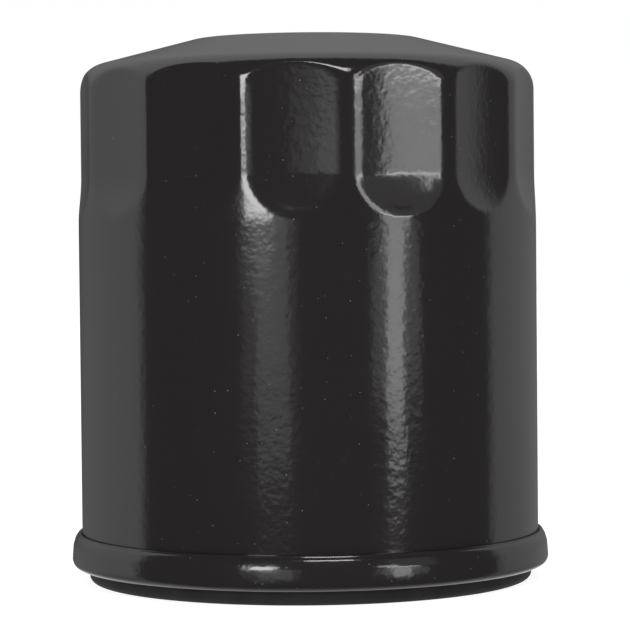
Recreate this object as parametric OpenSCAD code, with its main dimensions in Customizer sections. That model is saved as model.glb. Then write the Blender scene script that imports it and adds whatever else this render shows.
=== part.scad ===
// Spin-on engine oil filter, standing on its mounting gasket with the fluted, closed end up.
// Origin: centre of the gasket's sealing face. +Z runs along the axis towards the crown.

/* [Canister] */
// Overall height, from the gasket's face to the crown
height = 79; // [74:0.5:90]
// Outside diameter of the plain wall
body_d = 67; // [66:0.5:68]
// Sheet thickness of the drawn canister
can_t = 0.4; // [0.3:0.05:0.4]
// Diameter of the flat on the crown
crown_d = 32.6; // [26:0.2:36]
// Slope of the crown's cone, in degrees
crown_slope = 14.45; // [12:0.05:16]
// Radius of the shoulder between cone and wall
shoulder_r = 4.2; // [3:0.1:5]

/* [Wrench flutes] */
// Number of flutes
flutes = 14; // [14:14]
// Distance across two opposite flutes
flute_af = 64.7; // [64.4:0.05:65]
// Radius of each flute's hollow, across the flute
flute_hollow_r = 70; // [68:0.5:71]
// Diameter over the lands between the flutes
land_d = 66.6; // [66.2:0.1:67]
// Turn of the first flute's middle from the front, in degrees
flute_phase = -2.6; // [-12:0.1:12]
// Height at which the flutes start to run out into the wall
flute_foot_z = 58.9; // [56:0.1:60]
// Length of the run-out
flute_runout = 5.7; // [4:0.05:7]

/* [Rolled seam and gasket] */
// Diameter over the rolled seam
seam_d = 70; // [70:70]
// Height of the seam's lowest edge over the gasket's face
seam_foot_z = 2.1; // [2.1:2.1]
// Height of the seam's upper edge
seam_top_z = 7.1; // [6.8:0.1:7.4]
// Sheet thickness of the seam cover
cover_t = 0.45; // [0.4:0.05:0.45]
// Outside diameter of the mounting gasket
gasket_od = 64.9; // [64:0.1:65]
// Inside diameter of the mounting gasket
gasket_id = 55.2; // [55.2:0.1:57]
// Height of the mounting gasket
gasket_h = 5.2; // [4.8:0.1:5.2]

/* [Base plate] */
// Thickness of the pressed base plate
plate_t = 2.8; // [2.4:0.1:2.8]
// Minor diameter of the M20 x 1.5 thread
thread_minor_d = 18.376; // [18.376:18.376]
// Height of the threaded hub's top
hub_top_z = 14.5; // [13:0.5:14.5]
// Number of inlet ports
ports = 8; // [6:8]
// Diameter of each inlet port
port_d = 5.5; // [4:0.5:5.5]
// Diameter of the circle that the ports lie on
port_circle_d = 36; // [35:0.5:37]

/* [Filter element] */
// Number of pleats
pleats = 44; // [30:48]
// Thickness of the filter paper
paper_t = 0.5; // [0.4:0.05:0.6]
// Height of the element's top cap
element_top_z = 65.95; // [62:0.05:66]
// Diameter of the end caps
cap_d = 59.6; // [58:0.2:60]
// Outside diameter of the centre tube
tube_d = 24; // [23:0.5:24]

/* [Bypass valve] */
// Radius of the relief hole in the valve seat
relief_r = 4.8; // [4:0.1:5]
// Wire thickness of the bypass spring
wire_d = 0.9; // [0.7:0.1:1]
// Turns of the bypass spring
spring_turns = 5; // [3:6]

/* [Hidden] */
$fn = 96;

fit = 0.05;                         // gap between faces that rest on each other
flute_step = 360 / flutes;
body_r = body_d / 2;
land_r = land_d / 2;
crown_r = crown_d / 2;
flute_mid_r = flute_af / 2;
seam_r = seam_d / 2;

// Seam: the cover's outer wall is wrapped round the hooked lip of the canister.
chuck_r = body_r - can_t - fit - cover_t / 2;
hook_r = body_r + 0.72;             // middle of the canister's hooked lip
cover_hook_r = body_r + 0.255;      // middle of the cover's hooked edge
cover_wall_r = seam_r - cover_t / 2;
cover_floor_z = seam_foot_z + cover_t / 2;
can_floor_z = seam_foot_z + 0.75;

// Base: the cover's gasket channel, with the thick plate over it.
channel_in_r = gasket_id / 2 - 0.1 - cover_t / 2;
channel_roof_z = gasket_h + fit + cover_t / 2;
cover_ring_z = 2.725;
plate_low_z = cover_ring_z + cover_t / 2 + fit;
plate_high_z = channel_roof_z + cover_t / 2 + fit;
plate_low_top_z = plate_low_z + plate_t;
plate_rim_top_z = plate_high_z + plate_t;
thread_r = thread_minor_d / 2;
hub_r = thread_r + 3.6;

// Anti-drainback valve: a collar on the hub and a skirt that lies on the plate.
collar_r = hub_r + 1.6;
collar_low_z = 11.2;
collar_top_z = hub_top_z + 1.5;
skirt_gap = 0.35;
skirt_r = 23.1;
skirt_t = 0.9;

// Element, from the bottom up.
cap_t = 0.4;
cap_r = cap_d / 2;
glue_t = 2;
lower_cap_z = collar_top_z + fit;
lower_glue_z = lower_cap_z + cap_t + fit;
media_low_z = lower_glue_z + glue_t;
upper_cap_z = element_top_z - cap_t;
upper_glue_z = upper_cap_z - fit - glue_t;
media_top_z = upper_glue_z;
tube_r = tube_d / 2;
tube_t = 0.4;
media_in_r = 13;
media_out_r = 28.6;
clip_low_z = media_low_z + 0.5;
clip_top_z = media_top_z - 0.5;

// Bypass valve, hung in the upper cap's hole.
valve_hole_r = 8.7;
cage_r = 8.5;
cage_t = 0.4;
cage_floor_z = 55.1;
valve_flange_r = 10.6;
cage_flange_z = element_top_z + fit;
seat_z = cage_flange_z + cage_t + fit;
seat_t = 0.6;
seat_lip_z = cage_flange_z - 0.1;
seal_t = 0.95;
seal_z = seat_lip_z - fit - seal_t;
poppet_t = 0.65;
poppet_z = seal_z - fit - poppet_t;
poppet_r = 7.3;
stem_r = 1.5;
stem_low_z = 53.5;
head_z = seal_z + seal_t + fit;

// Leaf spring between the element and the crown.
leaf_t = 0.6;
leaf_w = 9;
leaf_foot_z = element_top_z + fit + leaf_t / 2;
leaf_crown_z = height - can_t - fit - leaf_t / 2;

// ---- Drawing helpers ----

function unit(v) = v / norm(v);

function left(v) = [-v[1], v[0]];

// Points of an arc of radius r that rounds the corner b between a and c.
function corner(a, b, c, r, steps = 6) =
    let (u = unit([a[0] - b[0], a[1] - b[1]]),
         v = unit([c[0] - b[0], c[1] - b[1]]),
         half = acos(u * v) / 2,
         mid = [b[0], b[1]] + unit(u + v) * r / sin(half),
         start = unit([b[0], b[1]] + u * r / tan(half) - mid),
         end = unit([b[0], b[1]] + v * r / tan(half) - mid),
         sweep = 180 - 2 * half)
    [for (i = [0:steps])
        mid + r * (sin(sweep * (1 - i / steps)) * start + sin(sweep * i / steps) * end) / sin(sweep)];

// An open path of [r, z, corner radius] with its corners rounded.
function rounded(path) =
    [for (i = [0:len(path) - 1])
        each (i == 0 || i == len(path) - 1)
            ? [[path[i][0], path[i][1]]]
            : corner(path[i - 1], path[i], path[i + 1], path[i][2])];

// The two normals at a path's point, averaged and lengthened so that the sheet keeps its thickness.
function sheet_normal(p, i) =
    let (before = left(unit(p[max(i, 1)] - p[max(i, 1) - 1])),
         after = left(unit(p[min(i, len(p) - 2) + 1] - p[min(i, len(p) - 2)])),
         mean = unit(before + after))
    mean / (mean * after);

// The outline of a sheet of thickness t bent along a path.
function sheet(p, t) =
    concat([for (i = [0:len(p) - 1]) p[i] + sheet_normal(p, i) * t / 2],
           [for (i = [len(p) - 1:-1:0]) p[i] - sheet_normal(p, i) * t / 2]);

// Rounds off a filled corner: m is the arc's centre, a and b are the arc's ends.
module rounded_off(m, r, a, b) difference() {
    children();
    difference() {
        polygon([m, m + (a - m) * 3, m + (a - m + b - m) * 3, m + (b - m) * 3]);
        translate(m) circle(r = r);
    }
}

module turned(outline) rotate_extrude() polygon(outline);

module bent_sheet(path, t) turned(sheet(rounded(path), t));

module ring(inner, outer, low, high)
    turned([[inner, low], [outer, low], [outer, high], [inner, high]]);

// A ring with its edges cut back by c.
module eased_ring(inner, outer, low, high, c)
    turned([[inner + c, low], [outer - c, low], [outer, low + c], [outer, high - c],
            [outer - c, high], [inner + c, high], [inner, high - c], [inner, low + c]]);

module around(count, phase = 0)
    for (i = [0:count - 1]) rotate([0, 0, phase + i * 360 / count]) children();

// ---- Canister ----

crown_drop = tan(crown_slope);
shoulder_mid_r = land_r - shoulder_r;
shoulder_end_r = shoulder_mid_r + shoulder_r * sin(crown_slope);
shoulder_end_z = height - (shoulder_end_r - crown_r) * crown_drop;
shoulder_mid_z = shoulder_end_z - shoulder_r * cos(crown_slope);
flute_top_cut_z = height + 1;
joint_z = flute_foot_z - flute_runout - 4;

// Section of the closed end, filled to the axis and set in by d from the outer face.
module closed_end(d) {
    middle = [shoulder_mid_r, shoulder_mid_z];
    r = shoulder_r - d;
    lean = [sin(crown_slope), cos(crown_slope)];
    rim_z = shoulder_mid_z + r * (1 - lean[0]) / lean[1];
    rounded_off(middle, r, middle + r * [1, 0], middle + r * lean)
        polygon([[0, joint_z], [body_r - d, joint_z], [body_r - d, flute_foot_z - flute_runout - 1.6],
                 [land_r - d, flute_foot_z], [land_r - d, rim_z],
                 [crown_r - d * tan(crown_slope / 2), height - d], [0, height - d]]);
}

// One flute's tool, hollow_r being the radius of its face: a slice of a turned ring whose axis
// stands outside the canister.
module flute_tool(hollow_r, spread) {
    depth = body_r - flute_mid_r;
    runout = [for (t = [1.16, 1.08, 0.9, 0.72, 0.54, 0.36, 0.18, 0])
        [hollow_r - depth * t * (0.2 + 0.8 * t), flute_foot_z - flute_runout * t]];
    translate([0, -flute_mid_r - flute_hollow_r, 0])
        rotate([0, 0, 90 - spread])
            rotate_extrude(angle = 2 * spread)
                polygon(concat([[hollow_r - 4, runout[0][1]]], runout,
                               [[hollow_r, flute_top_cut_z], [hollow_r - 4, flute_top_cut_z]]));
}

module fluted_end(d, spread) {
    difference() {
        rotate_extrude() closed_end(d);
        around(flutes, flute_phase) flute_tool(flute_hollow_r + d, spread);
    }
}

module canister() color("#141416") {
    wall_r = body_r - can_t / 2;
    bend_r = (hook_r - wall_r) / 2 - 0.01;
    difference() {
        fluted_end(0, 6);
        fluted_end(can_t, 5.9);
    }
    bent_sheet([[wall_r, joint_z, 0], [wall_r, can_floor_z, bend_r],
                [hook_r, can_floor_z, bend_r], [hook_r, seam_top_z - 1.5, 0]], can_t);
}

// ---- Base ----

module seam_cover() color("#161618") {
    bent_sheet([[22.2, cover_ring_z, 0], [channel_in_r, cover_ring_z, 0.6],
                [channel_in_r, channel_roof_z, 0.6], [chuck_r, channel_roof_z, 0.6],
                [chuck_r, cover_floor_z, 0.6], [cover_wall_r, cover_floor_z, 1.1],
                [cover_wall_r, seam_top_z - 1.7, 2], [cover_wall_r - 0.28, seam_top_z - cover_t / 2, 0.42],
                [cover_hook_r, seam_top_z - cover_t / 2, 0.3], [cover_hook_r, 3.5, 0]], cover_t);
}

module seam_sealant() color("#7a3b2e")
    ring(cover_hook_r - 0.2, cover_hook_r + 0.2, 3.16, 3.42);

module base_plate() color("#b9b6ab") {
    difference() {
        turned([[thread_r, plate_low_z + 1.2], [thread_r + 1.2, plate_low_z], [26.4, plate_low_z],
                [26.9, plate_low_z + 0.5], [26.9, plate_high_z], [32.4, plate_high_z],
                [32.4, plate_rim_top_z], [25.8, plate_rim_top_z], [24, plate_low_top_z],
                [hub_r + 0.8, plate_low_top_z], [hub_r, plate_low_top_z + 0.8], [hub_r, hub_top_z - 0.6],
                [hub_r - 0.6, hub_top_z], [thread_r + 0.6, hub_top_z], [thread_r, hub_top_z - 0.6]]);
        around(ports, 180 / ports) translate([port_circle_d / 2, 0, plate_low_z - 1])
            cylinder(d = port_d, h = plate_t + 2);
    }
}

module mounting_gasket() color("#1d1c1b") {
    out_r = gasket_od / 2;
    in_r = gasket_id / 2;
    edge = 0.9;
    ease = 0.3;
    middle = [out_r - edge, edge];
    rotate_extrude()
        rounded_off(middle, edge, [out_r - edge, 0], [out_r, edge])
            polygon([[in_r + 0.5, 0], [out_r, 0], [out_r, gasket_h - ease], [out_r - ease, gasket_h],
                     [in_r + ease, gasket_h], [in_r, gasket_h - ease], [in_r, 0.5]]);
}

// ---- Anti-drainback valve ----

module drainback_valve_collar() color("#c4622d")
    turned([[hub_r + fit, collar_low_z], [collar_r, collar_low_z], [collar_r, collar_top_z],
            [thread_r + 1, collar_top_z], [thread_r + 1, hub_top_z + fit],
            [hub_r + fit, hub_top_z + fit]]);

module drainback_valve_skirt() color("#c4622d") {
    neck_r = collar_r + skirt_gap;
    lip_z = plate_low_top_z + 0.1;
    bend_z = lip_z + skirt_t;
    turned([[neck_r, collar_low_z - 0.9], [neck_r + 1.2, collar_low_z - 1.2], [skirt_r - 1.6, bend_z],
            [skirt_r, bend_z - 0.1], [skirt_r, lip_z], [skirt_r - 2.1, lip_z],
            [neck_r + 0.5, collar_low_z - 2.4], [neck_r, collar_low_z - 2.2]]);
}

// ---- Filter element ----

module lower_end_cap() color("#c9c6b8")
    bent_sheet([[thread_r + 1.4, lower_cap_z + 1.4, 0], [thread_r + 1.4, lower_cap_z + cap_t / 2, 0.5],
                [cap_r - cap_t / 2, lower_cap_z + cap_t / 2, 0.6],
                [cap_r - cap_t / 2, lower_cap_z + 4.4, 0]], cap_t);

module upper_end_cap() color("#c9c6b8")
    bent_sheet([[valve_hole_r, element_top_z - cap_t / 2, 0],
                [cap_r - cap_t / 2, element_top_z - cap_t / 2, 0.6],
                [cap_r - cap_t / 2, element_top_z - 4.4, 0]], cap_t);

module glue_disc(z) eased_ring(tube_r + fit, cap_r - cap_t - 0.25, z, z + glue_t, 0.3);

module lower_adhesive() color("#6f2f28") glue_disc(lower_glue_z);

module upper_adhesive() color("#6f2f28") glue_disc(upper_glue_z);

// Middle line of the paper: each pleat is an outer fold and an inner fold of three points each.
fold_points = 6;
pleat_angle = 360 / pleats;
outer_fold = 0.55;                  // half the width of an outer fold
inner_fold = 0.43;                  // half the width of an inner fold
fold_depth = 0.4;

function along(lateral, radius) = lateral / radius * 180 / PI;

function fold_point(i) =
    let (k = i % fold_points,
         base = floor(i / fold_points) * pleat_angle,
         outer = k < 3,
         side = (k % 3) - 1,
         r = outer ? media_out_r - paper_t / 2 - fold_depth * abs(side)
                   : media_in_r + paper_t / 2 + fold_depth * abs(side),
         a = base + (outer ? along(side * outer_fold, r) : pleat_angle / 2 + along(side * inner_fold, r)))
    [r * cos(a), r * sin(a)];

function paper_edge(side) =
    let (n = pleats * fold_points)
    [for (i = [0:n - 1])
        let (a = fold_point((i + n - 1) % n), b = fold_point(i), c = fold_point((i + 1) % n),
             mean = unit(left(unit(b - a)) + left(unit(c - b))))
        b + side * mean / (mean * left(unit(c - b))) * paper_t / 2];

module pleated_media() color("#d9c08a") {
    outer = paper_edge(-1);
    inner = paper_edge(1);
    n = len(outer);
    translate([0, 0, media_low_z])
        linear_extrude(height = media_top_z - media_low_z)
            polygon(concat(outer, inner), [[for (i = [0:n - 1]) i], [for (i = [0:n - 1]) n + i]]);
}

// A folded strip that grips the two ends of the paper, over one outer fold.
module media_clip() color("#b8b8b4") {
    grip = outer_fold + paper_t / 2 + 0.07;
    clip_t = 0.3;
    difference() {
        translate([25, -grip - clip_t, clip_low_z])
            cube([media_out_r + 0.12 + clip_t - 25, 2 * (grip + clip_t), clip_top_z - clip_low_z]);
        translate([24, -grip, clip_low_z - 1])
            cube([media_out_r + 0.12 - 24, 2 * grip, clip_top_z - clip_low_z + 2]);
    }
}

module centre_tube() color("#b4b2aa") {
    rows = 10;
    holes = 8;
    row_step = (upper_glue_z - media_low_z) / (rows + 1);
    difference() {
        ring(tube_r - tube_t, tube_r, lower_cap_z + cap_t + fit, upper_cap_z - fit);
        for (row = [1:rows])
            around(holes, (row % 2) * 180 / holes)
                translate([tube_r - 2, 0, media_low_z + row * row_step - 0.6])
                    rotate([0, 90, 0]) cylinder(d = 3, h = 4);
    }
}

// ---- Bypass valve ----

module bypass_seat() color("#a9a79e")
    turned([[relief_r, seat_lip_z], [relief_r + 0.8, seat_lip_z], [relief_r + 0.8, seat_z],
            [valve_flange_r, seat_z], [valve_flange_r, seat_z + seat_t], [relief_r, seat_z + seat_t]]);

module bypass_cage() color("#a9a79e") {
    windows = 4;
    difference() {
        bent_sheet([[stem_r + 0.3, cage_floor_z + cage_t / 2, 0],
                    [cage_r - cage_t / 2, cage_floor_z + cage_t / 2, 0.5],
                    [cage_r - cage_t / 2, cage_flange_z + cage_t / 2, 0.21],
                    [valve_flange_r, cage_flange_z + cage_t / 2, 0]], cage_t);
        around(windows) translate([cage_r - 2, -3.2, cage_floor_z + 1.6]) cube([4, 6.4, 6]);
        around(windows, 45) translate([5.2, 0, cage_floor_z - 1]) cylinder(d = 1.9, h = 3);
    }
}

module bypass_poppet() color("#8f8d86")
    turned([[0, stem_low_z], [stem_r - 0.4, stem_low_z], [stem_r, stem_low_z + 0.4], [stem_r, poppet_z],
            [poppet_r, poppet_z], [poppet_r, poppet_z + poppet_t], [1.9, poppet_z + poppet_t],
            [1.9, head_z], [3.2, head_z], [3, head_z + 0.45], [0, head_z + 0.6]]);

module bypass_seal() color("#232220")
    eased_ring(1.95, poppet_r - 0.1, seal_z, seal_z + seal_t, 0.15);

spring_r = 4.6;                     // middle of the bypass spring's coil
spring_foot_z = cage_floor_z + cage_t + wire_d / 2 + fit;
spring_top_z = poppet_z - wire_d / 2 - fit;

// A point on the wire's surface: t turns along the coil, a degrees round the wire.
function wire_point(t, a) =
    let (r = spring_r + wire_d / 2 * cos(a),
         z = spring_foot_z + (spring_top_z - spring_foot_z) * t / spring_turns + wire_d / 2 * sin(a))
    [r * cos(360 * t), r * sin(360 * t), z];

module bypass_spring() color("#9a9a98") {
    per_turn = 22;
    sides = 10;
    rings = spring_turns * per_turn;
    points = [for (i = [0:rings]) for (k = [0:sides - 1]) wire_point(i / per_turn, -k * 360 / sides)];
    walls = [for (i = [0:rings - 1]) for (k = [0:sides - 1])
        let (a = i * sides + k, b = i * sides + (k + 1) % sides)
        each [[a, b, b + sides], [a, b + sides, a + sides]]];
    ends = [[for (k = [sides - 1:-1:0]) k], [for (k = [0:sides - 1]) rings * sides + k]];
    polyhedron(points, concat(walls, ends));
}

// ---- Element spring ----

leaf_foot_r = 22.5;
leaf_line = [[-leaf_foot_r - 3.6, leaf_foot_z + 1.6, 0], [-leaf_foot_r, leaf_foot_z, 4],
             [-14.5, leaf_foot_z, 12], [-7.5, leaf_crown_z, 9], [7.5, leaf_crown_z, 9],
             [14.5, leaf_foot_z, 12], [leaf_foot_r, leaf_foot_z, 4],
             [leaf_foot_r + 3.6, leaf_foot_z + 1.6, 0]];

module leaf() translate([0, leaf_w / 2, 0]) rotate([90, 0, 0])
    linear_extrude(height = leaf_w) polygon(sheet(rounded(leaf_line), leaf_t));

module element_spring() color("#7d8288") {
    leaf();
    rotate([0, 0, 90]) leaf();
}

canister();
seam_cover();
seam_sealant();
base_plate();
mounting_gasket();
drainback_valve_collar();
drainback_valve_skirt();
lower_end_cap();
lower_adhesive();
pleated_media();
media_clip();
centre_tube();
upper_adhesive();
upper_end_cap();
bypass_seat();
bypass_cage();
bypass_poppet();
bypass_seal();
bypass_spring();
element_spring();
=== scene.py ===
"""Dressed model of a spin-on oil filter, built over its fixed frame.

The frame holds the sized solids and the joints. Each class below makes one sub-assembly of the
filter, in millimetres, with the gasket's sealing face at height 0 and the axis along Z. Most
pieces ride on the frame's body that they belong to; the drainback valve and the relief coil are
attached to none.
"""

from __future__ import annotations

import logging
import math
from collections.abc import Callable, Sequence
from dataclasses import dataclass, field
from enum import Enum

import bmesh
import bpy
from mathutils import Matrix, Vector

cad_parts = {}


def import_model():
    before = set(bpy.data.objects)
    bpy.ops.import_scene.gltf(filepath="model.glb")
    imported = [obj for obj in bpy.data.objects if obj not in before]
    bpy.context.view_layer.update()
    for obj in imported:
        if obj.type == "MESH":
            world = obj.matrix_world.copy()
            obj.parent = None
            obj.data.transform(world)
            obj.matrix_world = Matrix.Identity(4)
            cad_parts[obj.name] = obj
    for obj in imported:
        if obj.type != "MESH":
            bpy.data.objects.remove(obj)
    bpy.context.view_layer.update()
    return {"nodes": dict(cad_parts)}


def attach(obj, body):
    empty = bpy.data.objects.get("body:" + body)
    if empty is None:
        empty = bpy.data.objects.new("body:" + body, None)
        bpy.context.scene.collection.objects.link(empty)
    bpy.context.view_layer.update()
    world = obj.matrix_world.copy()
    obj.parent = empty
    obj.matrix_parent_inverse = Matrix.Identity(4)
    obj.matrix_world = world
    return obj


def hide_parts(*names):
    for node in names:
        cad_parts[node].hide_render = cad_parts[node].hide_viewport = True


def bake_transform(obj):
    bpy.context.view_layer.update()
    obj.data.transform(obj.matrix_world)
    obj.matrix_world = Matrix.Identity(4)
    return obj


MM = 0.001
LOG = logging.getLogger("oil_filter")

Profile = list[tuple[float, float]]
Pair = tuple[float, float]
Colour = tuple[float, float, float]
Socket = bpy.types.NodeSocket
BMesh = bmesh.types.BMesh
Edges = list[bmesh.types.BMEdge]


class Body(Enum):
    """The frame's rigid bodies."""

    FILTER = "filter"
    BYPASS = "bypass_valve"
    SKIRT = "drainback_skirt"


# ---------------------------------------------------------------- sections


@dataclass(frozen=True)
class Corner:
    """A corner of a section, with the radius that rounds it."""

    r: float
    z: float
    radius: float = 0.0

    @property
    def point(self) -> Vector:
        """The corner's place in the section."""
        return Vector((self.r, self.z))


def rounded(before: Corner, corner: Corner, after: Corner, steps: int) -> Profile:
    """Rounds one corner of a section.

    Args:
        before: The corner that the path comes from.
        corner: The corner to round.
        after: The corner that the path goes to.
        steps: How many chords the arc gets.

    Returns:
        The arc's points, or the corner alone where its radius is 0.
    """
    if corner.radius <= 0:
        return [(corner.r, corner.z)]
    u = (before.point - corner.point).normalized()
    v = (after.point - corner.point).normalized()
    half = u.angle(v) / 2
    middle = corner.point + (u + v).normalized() * corner.radius / math.sin(half)
    start = corner.point + u * corner.radius / math.tan(half) - middle
    end = corner.point + v * corner.radius / math.tan(half) - middle
    sweep = math.pi - 2 * half
    points: Profile = []
    for k in range(steps + 1):
        t = k / steps
        away = (start * math.sin(sweep * (1 - t)) + end * math.sin(sweep * t)) / math.sin(sweep)
        points.append(tuple(middle + away))
    return points


def open_path(corners: Sequence[Corner], steps: int = 6) -> Profile:
    """Rounds an open path's inner corners.

    Args:
        corners: The path's corners, whose first and last stay as they are.
        steps: How many chords each rounded corner gets.

    Returns:
        The path's points.
    """
    points: Profile = [(corners[0].r, corners[0].z)]
    for before, corner, after in zip(corners, corners[1:], corners[2:]):
        points += rounded(before, corner, after, steps)
    return points + [(corners[-1].r, corners[-1].z)]


def closed_path(corners: Sequence[Corner], steps: int = 4) -> Profile:
    """Rounds every corner of a closed outline.

    Args:
        corners: The outline's corners.
        steps: How many chords each rounded corner gets.

    Returns:
        The outline's points, without the first one repeated.
    """
    points: Profile = []
    for i, corner in enumerate(corners):
        points += rounded(corners[i - 1], corner, corners[(i + 1) % len(corners)], steps)
    return points


def divided(points: Profile, longest: float) -> Profile:
    """Adds points to a path until no chord is too long.

    Args:
        points: The path's points.
        longest: The longest chord allowed.

    Returns:
        The path with the added points.
    """
    result: Profile = [points[0]]
    for a, b in zip(points, points[1:]):
        pieces = max(1, math.ceil(math.dist(a, b) / longest))
        for k in range(1, pieces + 1):
            t = k / pieces
            result.append((a[0] + (b[0] - a[0]) * t, a[1] + (b[1] - a[1]) * t))
    return result


# ---------------------------------------------------------------- shaping


def tidy(bm: BMesh, gap: float = 1e-7) -> BMesh:
    """Merges a mesh's doubles and turns its faces outwards.

    Args:
        bm: The mesh.
        gap: How near two vertices have to be, in metres, to be merged.

    Returns:
        The same mesh.
    """
    bmesh.ops.remove_doubles(bm, verts=bm.verts, dist=gap)
    bmesh.ops.recalc_face_normals(bm, faces=bm.faces)
    return bm


def turned(bm: BMesh, geom: list, angle: float, steps: int, **how: object) -> None:
    """Spins geometry about the filter's axis, through an angle in radians."""
    bmesh.ops.spin(bm, geom=geom, cent=(0, 0, 0), axis=(0, 0, 1), angle=angle, steps=steps, **how)


def spun(points: Profile, steps: int, closed: bool, into: BMesh | None = None) -> BMesh:
    """Spins a section round the filter's axis.

    Args:
        points: The section's radii and heights, in millimetres.
        steps: How many columns the full turn gets.
        closed: Whether the section's last point joins its first.
        into: A mesh to add to, or None for a new one.

    Returns:
        The mesh, with its faces turned outwards if it is new.
    """
    bm = into or bmesh.new()
    verts = [bm.verts.new((r * MM, 0.0, z * MM)) for r, z in points]
    edges = [bm.edges.new(pair) for pair in zip(verts, verts[1:])]
    if closed:
        edges.append(bm.edges.new((verts[-1], verts[0])))
    turned(bm, verts + edges, math.tau, steps, use_merge=True)
    return bm if into else tidy(bm)


def drawn(bm: BMesh, edges: Edges, by: Vector) -> Edges:
    """Draws a sheet out of some edges.

    Args:
        bm: The mesh.
        edges: The edges to draw from.
        by: How far and which way, in metres.

    Returns:
        The sheet's new edges.
    """
    made = bmesh.ops.extrude_edge_only(bm, edges=edges)["geom"]
    verts = [item for item in made if isinstance(item, bmesh.types.BMVert)]
    bmesh.ops.translate(bm, vec=by, verts=verts)
    return [item for item in made if isinstance(item, bmesh.types.BMEdge)]


def reshape(bm: BMesh, move: Callable[[float, float, float], tuple[float, float, float]]) -> None:
    """Moves every vertex of a mesh in round coordinates.

    Args:
        bm: The mesh.
        move: Takes a radius, a height and an angle from the front towards +X, in millimetres and
            degrees, and returns the three new ones.
    """
    for vert in bm.verts:
        r = math.hypot(vert.co.x, vert.co.y) / MM
        if r < 1e-6:
            continue
        angle = math.degrees(math.atan2(vert.co.x, -vert.co.y))
        r, z, angle = move(r, vert.co.z / MM, angle)
        a = math.radians(angle)
        vert.co = Vector((r * math.sin(a), -r * math.cos(a), z)) * MM


def smooth_step(low: float, high: float, value: float) -> float:
    """Returns 0 below low, 1 above high and an even curve between."""
    t = min(max((value - low) / (high - low), 0.0), 1.0)
    return t * t * (3 - 2 * t)


def ring_loop(bm: BMesh, centre: Vector, radius: float, count: int) -> Edges:
    """Adds a round loop about a vertical axis.

    Args:
        bm: The mesh to add to.
        centre: The loop's middle, in millimetres.
        radius: Its radius, in millimetres.
        count: How many edges it has.

    Returns:
        The loop's edges.
    """
    made = bmesh.ops.create_circle(
        bm, segments=count, radius=radius * MM, matrix=Matrix.Translation(centre * MM)
    )
    return list({edge for vert in made["verts"] for edge in vert.link_edges})


def meshed(name: str, bm: BMesh) -> bpy.types.Mesh:
    """Finishes a bmesh as a mesh.

    Args:
        name: The mesh's name.
        bm: The bmesh, which is used up.

    Returns:
        The mesh.
    """
    mesh = bpy.data.meshes.new(name)
    bm.to_mesh(mesh)
    bm.free()
    return mesh


def linked(name: str, data: bpy.types.ID) -> bpy.types.Object:
    """Makes an object and links it to the scene.

    Args:
        name: The object's name.
        data: Its mesh, light or camera.

    Returns:
        The object.
    """
    made = bpy.data.objects.new(name, data)
    bpy.context.scene.collection.objects.link(made)
    return made


class Solid:
    """Turns finished meshes into pieces that ride on the frame."""

    @staticmethod
    def place(
        name: str,
        bm: BMesh,
        finish: bpy.types.Material,
        slot: str,
        stands_for: Sequence[str] = (),
        body: Body | None = Body.FILTER,
        crisp: float = 40.0,
        wall: float = 0.0,
        wall_side: float = 0.0,
    ) -> bpy.types.Object:
        """Makes a piece from a mesh.

        Args:
            name: The piece's name.
            bm: Its mesh, which is used up.
            finish: Its material.
            slot: The name of the piece's material slot; not used.
            stands_for: The frame's nodes that it replaces.
            body: The body that it rides on, or None to leave it unattached.
            crisp: Edges that turn by more than this many degrees stay sharp.
            wall: Sheet thickness in millimetres, or 0 for a mesh that is closed already.
            wall_side: Where the wall lies: 0 to both sides of the mesh, -1 inwards.

        Returns:
            The piece.
        """
        mesh = meshed(name, bm)
        mesh.shade_smooth()
        mesh.set_sharp_from_angle(angle=math.radians(crisp))
        mesh.materials.append(finish)
        piece = linked(name, mesh)
        if wall:
            shell = piece.modifiers.new("sheet", "SOLIDIFY")
            shell.thickness = wall * MM
            shell.offset = wall_side
            shell.use_even_offset = True
        if stands_for:
            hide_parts(*stands_for)
        if body:
            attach(piece, body.value)
        LOG.info("built %s (%d faces)", name, len(mesh.polygons))
        return piece

    @staticmethod
    def dress(node: bpy.types.Object, finish: bpy.types.Material) -> None:
        """Gives one of the frame's own nodes its finish.

        Args:
            node: The node's object.
            finish: Its material.
        """
        node.data.materials.clear()
        node.data.materials.append(finish)
        LOG.info("dressed %s", node.name)


# ---------------------------------------------------------------- finishes


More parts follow.
